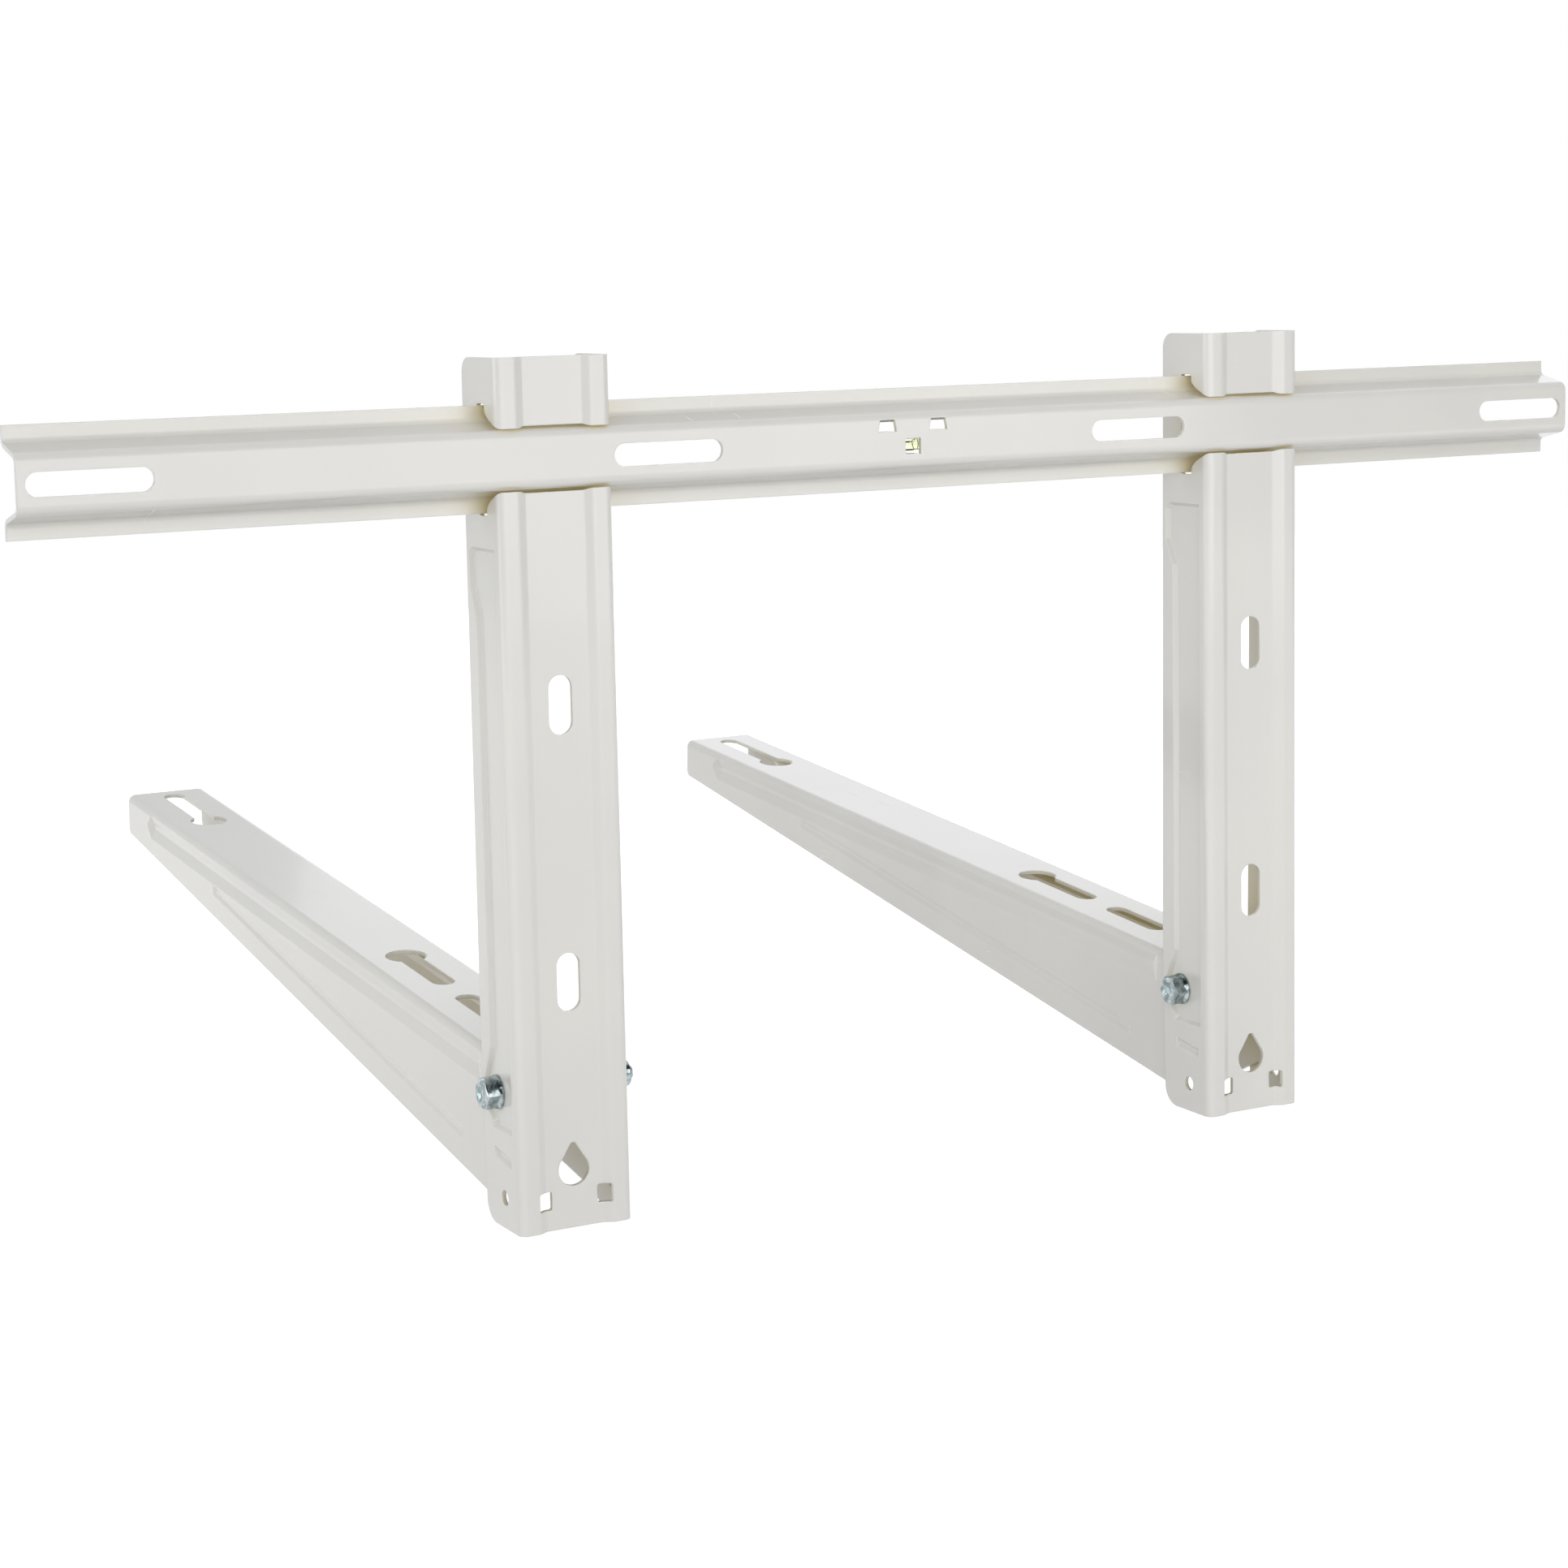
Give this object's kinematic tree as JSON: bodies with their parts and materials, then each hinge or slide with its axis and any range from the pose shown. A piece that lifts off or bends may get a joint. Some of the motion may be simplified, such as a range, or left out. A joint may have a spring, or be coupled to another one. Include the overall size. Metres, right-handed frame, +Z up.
{
  "type": "air conditioner outdoor unit bracket",
  "caption": "Wall bracket for an air conditioner's outdoor unit: a slotted crossbar with a built-in level carries sliding uprights with hinged support arms",
  "frame": {"origin": "the middle of the crossbar on the wall plane, the point that the wall_face mount states", "axes": "+Z is up, +Y points into the wall, +X runs along the crossbar, and the arms reach out towards -Y"},
  "size_m": [0.8, 0.5628, 0.3826],
  "materials": {
    "ivory_coat": "gloss powder coat",
    "zinc_plate": "bright zinc plate",
    "nylon": "satin",
    "clear_acrylic": "clear",
    "level_fluid": "clear",
    "plug_plastic": "satin"
  },
  "bodies": {
    "crossbar": {"crossbar_rail": "ivory_coat", "level_vial_block": "clear_acrylic", "level_vial_fluid": "level_fluid", "level_vial_plug": "plug_plastic"},
    "right_upright_body": {"right_upright": "ivory_coat", "right_pivot_bolt": "zinc_plate", "right_pivot_nut": "zinc_plate", "right_nut_lock_ring": "nylon"},
    "left_upright_body": {"left_upright": "ivory_coat", "left_pivot_bolt": "zinc_plate", "left_pivot_nut": "zinc_plate", "left_nut_lock_ring": "nylon"},
    "right_arm_body": {"right_arm": "ivory_coat"},
    "left_arm_body": {"left_arm": "ivory_coat"}
  },
  "joints": [
    {"name": "right_upright_slide", "type": "slide", "parent": "crossbar", "child": "right_upright_body", "axis": [1, 0, 0], "range_m": [-0.12, 0.2]},
    {"name": "left_upright_slide", "type": "slide", "parent": "crossbar", "child": "left_upright_body", "axis": [1, 0, 0], "range_m": [-0.165, 0.13]},
    {"name": "right_arm_fold", "type": "hinge", "parent": "right_upright_body", "child": "right_arm_body", "pos_m": [0.1664, -0.0254, -0.2793], "axis": [-1, 0, 0], "range_deg": [0, 80]},
    {"name": "left_arm_fold", "type": "hinge", "parent": "left_upright_body", "child": "left_arm_body", "pos_m": [-0.2028, -0.0254, -0.2793], "axis": [-1, 0, 0], "range_deg": [0, 80]}
  ]
}
